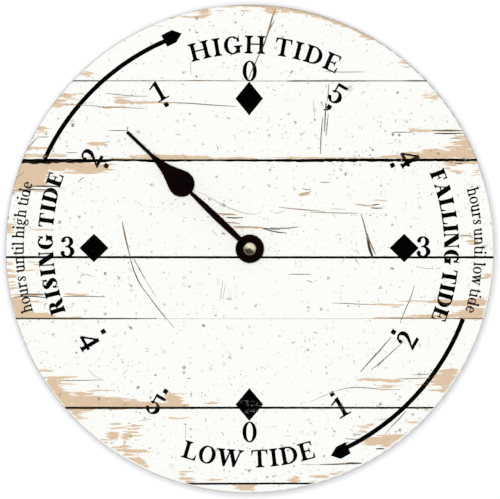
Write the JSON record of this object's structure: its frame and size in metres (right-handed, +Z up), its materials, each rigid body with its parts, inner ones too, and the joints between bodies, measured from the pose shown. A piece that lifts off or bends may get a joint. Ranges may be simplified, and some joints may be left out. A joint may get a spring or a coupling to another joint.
{
  "type": "wall tide clock",
  "caption": "Round wall tide clock with a printed dial, one hand, a clamped battery movement with its gear train, and a keyhole hanger.",
  "frame": {"origin": "centre of the hanging hole, half way through the hanger's upper tab", "axes": "+Z up, dial facing -Y, +Y out of the hanging hole towards the wall, +X to the right seen from the front"},
  "size_m": [0.254, 0.0313, 0.254],
  "materials": {
    "printed_board": "matt printed face on fibreboard",
    "hand_black": "satin black paint",
    "polished_brass": "polished",
    "washer_rubber": "matt",
    "hanger_steel": "zinc plated",
    "case_plastic": "fine moulded texture",
    "cover_plastic": "fine moulded texture",
    "bridge_plastic": "moulded",
    "gear_plastic": "moulded",
    "pinion_plastic": "moulded",
    "spring_steel": "bright strip",
    "magnet_grey": "sintered",
    "motor_iron": "stamped sheet",
    "bobbin_plastic": "moulded",
    "copper_winding": "enamelled copper wire",
    "board_green": "solder resist",
    "crystal_can": "bright tin",
    "chip_resin": "black resin",
    "contact_nickel": "nickel plated",
    "battery_sleeve": "printed sleeve",
    "battery_steel": "bright nickel",
    "knob_plastic": "moulded"
  },
  "bodies": {
    "clock_body": {"dial_disc": "printed_board", "hex_nut": "polished_brass", "dial_washer": "polished_brass", "threaded_bushing": "polished_brass", "rubber_washer": "washer_rubber", "hanger_plate": "hanger_steel", "movement_case": "case_plastic", "rear_cover": "cover_plastic", "train_bridge": "bridge_plastic", "stator_plate": "motor_iron", "coil_core": "motor_iron", "coil_bobbin": "bobbin_plastic", "coil_winding": "copper_winding", "circuit_board": "board_green", "quartz_crystal": "crystal_can", "driver_chip": "chip_resin", "positive_contact": "contact_nickel", "negative_contact": "contact_nickel"},
    "tide_hand": {"tide_hand": "hand_black", "cap_nut": "polished_brass", "tide_arbor": "polished_brass", "tide_wheel": "gear_plastic"},
    "motion_wheel": {"motion_wheel": "gear_plastic"},
    "clutch_pinion": {"clutch_pinion": "pinion_plastic", "clutch_spring": "spring_steel"},
    "setting_knob": {"setting_knob": "knob_plastic", "setting_pinion": "gear_plastic"},
    "first_wheel": {"first_wheel": "gear_plastic"},
    "rotor": {"rotor_pinion": "pinion_plastic", "rotor_magnet": "magnet_grey"},
    "second_wheel": {"second_wheel": "gear_plastic"},
    "third_wheel": {"third_wheel": "gear_plastic"},
    "clutch_wheel": {"clutch_wheel": "gear_plastic"},
    "battery": {"battery_can": "battery_sleeve", "battery_button": "battery_steel"}
  },
  "joints": [
    {"name": "tide_hand_turn", "type": "hinge", "parent": "clock_body", "child": "tide_hand", "pos_m": [0, 0, -0.038], "axis": [0, 1, 0], "continuous": true},
    {"name": "motion_wheel_turn", "type": "hinge", "parent": "clock_body", "child": "motion_wheel", "pos_m": [0.0053, 0, -0.0327], "axis": [0, 1, 0], "continuous": true},
    {"name": "clutch_pinion_turn", "type": "hinge", "parent": "clock_body", "child": "clutch_pinion", "pos_m": [0.00234, 0, -0.02635], "axis": [0, 1, 0], "continuous": true},
    {"name": "setting_knob_turn", "type": "hinge", "parent": "clock_body", "child": "setting_knob", "pos_m": [0.0138, 0, -0.03419], "axis": [0, 1, 0], "continuous": true},
    {"name": "first_wheel_turn", "type": "hinge", "parent": "clock_body", "child": "first_wheel", "pos_m": [-0.0159, 0, -0.03352], "axis": [0, 1, 0], "continuous": true},
    {"name": "rotor_turn", "type": "hinge", "parent": "clock_body", "child": "rotor", "pos_m": [-0.01651, 0, -0.02655], "axis": [0, 1, 0], "continuous": true},
    {"name": "second_wheel_turn", "type": "hinge", "parent": "clock_body", "child": "second_wheel", "pos_m": [-0.00893, 0, -0.03291], "axis": [0, 1, 0], "continuous": true},
    {"name": "third_wheel_turn", "type": "hinge", "parent": "clock_body", "child": "third_wheel", "pos_m": [-0.00443, 0, -0.02755], "axis": [0, 1, 0], "continuous": true},
    {"name": "clutch_wheel_turn", "type": "hinge", "parent": "clock_body", "child": "clutch_wheel", "pos_m": [0.00234, 0, -0.02635], "axis": [0, 1, 0], "continuous": true},
    {"name": "battery_slide", "type": "slide", "parent": "clock_body", "child": "battery", "axis": [0, 1, 0], "range_m": [0, 0.02]}
  ],
  "couplings": [
    {"joint": "motion_wheel_turn", "follows": "tide_hand_turn", "ratio": -5},
    {"joint": "clutch_pinion_turn", "follows": "tide_hand_turn", "ratio": 23},
    {"joint": "setting_knob_turn", "follows": "tide_hand_turn", "ratio": 10},
    {"joint": "rotor_turn", "follows": "first_wheel_turn", "ratio": -6},
    {"joint": "second_wheel_turn", "follows": "first_wheel_turn", "ratio": -0.16667},
    {"joint": "third_wheel_turn", "follows": "first_wheel_turn", "ratio": 0.027778},
    {"joint": "clutch_wheel_turn", "follows": "first_wheel_turn", "ratio": -0.0061728}
  ]
}
